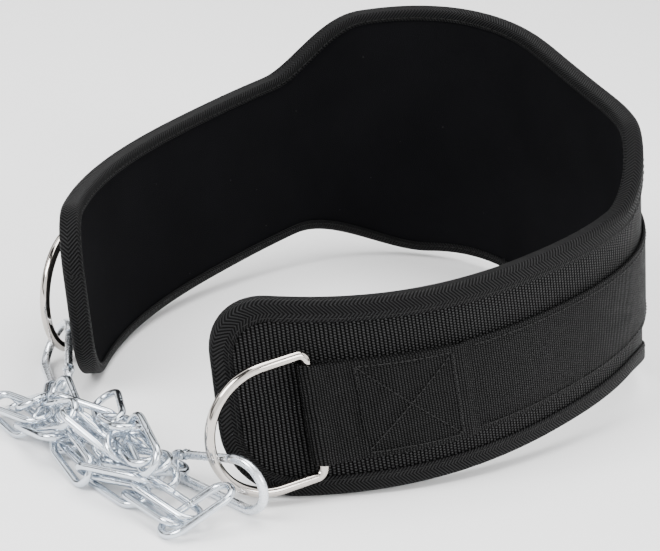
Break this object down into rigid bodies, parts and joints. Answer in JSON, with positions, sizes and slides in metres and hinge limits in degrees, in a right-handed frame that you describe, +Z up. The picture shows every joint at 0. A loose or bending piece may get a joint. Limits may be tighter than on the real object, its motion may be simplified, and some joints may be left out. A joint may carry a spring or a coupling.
{
  "type": "weightlifting belt",
  "caption": "Padded weightlifting belt, high at the back, curled as worn, with a strap round the outside, D-rings at both ends and a loading chain on snap hooks.",
  "frame": {"origin": "on the floor under the middle of the bounding box of belt and chain together", "axes": "+Z up, +Y towards the high back of the belt, the opening with the chain faces -Y, X across the belt"},
  "size_m": [0.2868, 0.396, 0.1596],
  "materials": {
    "lining": "matte smooth lining cloth",
    "shell": "coarse ribbed nylon cloth",
    "binding": "twill tape",
    "webbing": "coarse woven webbing",
    "ring_metal": "polished nickel plate",
    "hook_metal": "bright zinc plate",
    "chain_metal": "bright zinc plate"
  },
  "bodies": {
    "belt": {"chain_link_01": "chain_metal", "chain_link_02": "chain_metal", "chain_link_03": "chain_metal", "chain_link_04": "chain_metal", "chain_link_05": "chain_metal", "chain_link_06": "chain_metal", "chain_link_07": "chain_metal", "chain_link_08": "chain_metal", "chain_link_09": "chain_metal", "chain_link_10": "chain_metal", "chain_link_11": "chain_metal", "chain_link_12": "chain_metal", "chain_link_13": "chain_metal", "chain_link_14": "chain_metal", "chain_link_15": "chain_metal", "chain_link_16": "chain_metal", "chain_link_17": "chain_metal", "chain_link_18": "chain_metal", "chain_link_19": "chain_metal", "chain_link_20": "chain_metal", "chain_link_21": "chain_metal", "chain_link_22": "chain_metal", "chain_link_23": "chain_metal", "chain_link_24": "chain_metal", "chain_link_25": "chain_metal", "chain_link_26": "chain_metal", "chain_link_27": "chain_metal", "d_ring_left": "ring_metal", "d_ring_right": "ring_metal", "edge_binding": "binding", "lining_pad": "lining", "main_strap": "webbing", "outer_shell": "shell", "snap_hook_left": "hook_metal", "snap_hook_right": "hook_metal"},
    "gate_right_body": {"gate_right": "hook_metal"},
    "gate_left_body": {"gate_left": "hook_metal"}
  },
  "joints": [
    {"name": "gate_right_hinge", "type": "hinge", "parent": "belt", "child": "gate_right_body", "pos_m": [0.09193, -0.14464, 0.01606], "axis": [-0.2539, 0.9394, 0.2304], "range_deg": [0, 2], "stiffness_Nm_per_rad": 0.02, "springref_deg": -22.92},
    {"name": "gate_left_hinge", "type": "hinge", "parent": "belt", "child": "gate_left_body", "pos_m": [-0.00792, -0.14701, 0.01693], "axis": [-0.3722, -0.853, 0.3658], "range_deg": [0, 25], "stiffness_Nm_per_rad": 0.02, "springref_deg": -22.92}
  ]
}
